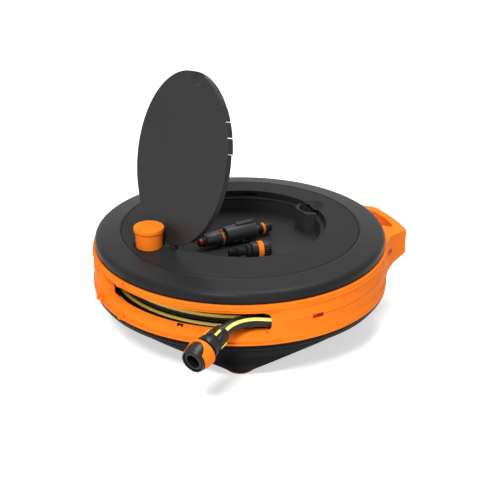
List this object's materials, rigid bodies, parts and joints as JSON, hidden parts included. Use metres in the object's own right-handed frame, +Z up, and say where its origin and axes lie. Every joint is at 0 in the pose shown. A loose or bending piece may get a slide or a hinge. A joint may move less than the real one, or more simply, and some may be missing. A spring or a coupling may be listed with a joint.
{
  "type": "garden hose reel",
  "caption": "Flat floor-standing garden hose reel: round case on low feet, side hose slot, carrying handle, winding knob on the turntable and an open lidded storage tray.",
  "frame": {"origin": "on the drum's turning axis, at floor level", "axes": "+Z up along the drum's turning axis, -Y towards the hose slot and the viewer, +X to the viewer's right, towards the carrying handle"},
  "size_m": [0.4877, 0.5332, 0.3961],
  "materials": {
    "orange_shell": "satin gloss moulded shell",
    "black_shell": "fine matte moulded shell",
    "soft_black": "satin dark plastic",
    "hose_black": "smooth hose jacket with a yellow stripe",
    "seal_black": "soft seal rubber",
    "signal_red": "satin",
    "hi_yellow": "raised soft dashes",
    "plated_steel": "zinc plated",
    "white_nylon": "natural nylon"
  },
  "bodies": {
    "case": {"base_shell": "black_shell", "foot_pads": "orange_shell", "lower_case": "orange_shell", "upper_case": "orange_shell", "top_ring": "black_shell", "seam_clips": "signal_red", "case_screws": "plated_steel", "ring_screws": "plated_steel", "spindle": "soft_black", "spindle_screws": "plated_steel", "spindle_nut": "black_shell", "spindle_washer": "white_nylon", "slide_ring": "white_nylon", "spindle_seals": "seal_black", "inlet_clip": "plated_steel", "free_hose": "hose_black", "hose_nut": "black_shell", "nut_grips": "hi_yellow", "connector_body": "soft_black", "mouth_seal": "signal_red"},
    "drum": {"drum": "black_shell", "hose_inner_layers": "hose_black", "hose_outer_layer": "hose_black", "hose_tail": "hose_black", "hose_clamp": "plated_steel", "rotary_fitting": "soft_black", "fitting_screws": "plated_steel", "turntable": "black_shell", "turntable_screws": "plated_steel", "storage_tray": "black_shell", "tray_screws": "plated_steel", "knob_pin": "plated_steel", "lid_hinge_pin": "plated_steel", "nozzle_body": "black_shell", "nozzle_ring": "orange_shell", "nozzle_cap": "signal_red", "coupler_body": "black_shell", "coupler_seal": "seal_black"},
    "knob": {"crank_knob": "orange_shell"},
    "lid": {"lid": "black_shell"},
    "inlet": {"inlet_elbow": "black_shell", "inlet_seal": "seal_black"},
    "release": {"release_collar": "orange_shell", "release_sleeve": "black_shell"},
    "nozzle_head": {"nozzle_head": "soft_black", "nozzle_collar": "orange_shell"},
    "coupler_sleeve": {"coupler_sleeve": "orange_shell"}
  },
  "joints": [
    {"name": "drum_turn", "type": "hinge", "parent": "case", "child": "drum", "pos_m": [0, 0, 0.09], "axis": [0, 0, 1], "continuous": true},
    {"name": "knob_spin", "type": "hinge", "parent": "drum", "child": "knob", "pos_m": [-0.13293, -0.06949, 0.15], "axis": [0, 0, 1], "continuous": true},
    {"name": "lid_swing", "type": "hinge", "parent": "drum", "child": "lid", "pos_m": [-0.11156, -0.05362, 0.14345], "axis": [-0.5105, 0.8599, 0], "range_deg": [0, 75]},
    {"name": "inlet_swivel", "type": "hinge", "parent": "case", "child": "inlet", "pos_m": [0, 0, 0.03], "axis": [0, 0, 1], "continuous": true},
    {"name": "collar_slide", "type": "slide", "parent": "case", "child": "release", "axis": [0.5578, 0.8056, 0.1994], "range_m": [0, 0.005], "stiffness_N_per_m": 900, "springref_m": -0.002},
    {"name": "nozzle_twist", "type": "hinge", "parent": "drum", "child": "nozzle_head", "pos_m": [0.0296, 0.052, 0.1223], "axis": [0.866, 0.5, 0], "range_deg": [0, 180]},
    {"name": "coupler_slide", "type": "slide", "parent": "drum", "child": "coupler_sleeve", "axis": [-0.9659, -0.2588, 0], "range_m": [0, 0.004], "stiffness_N_per_m": 600, "springref_m": -0.002}
  ]
}
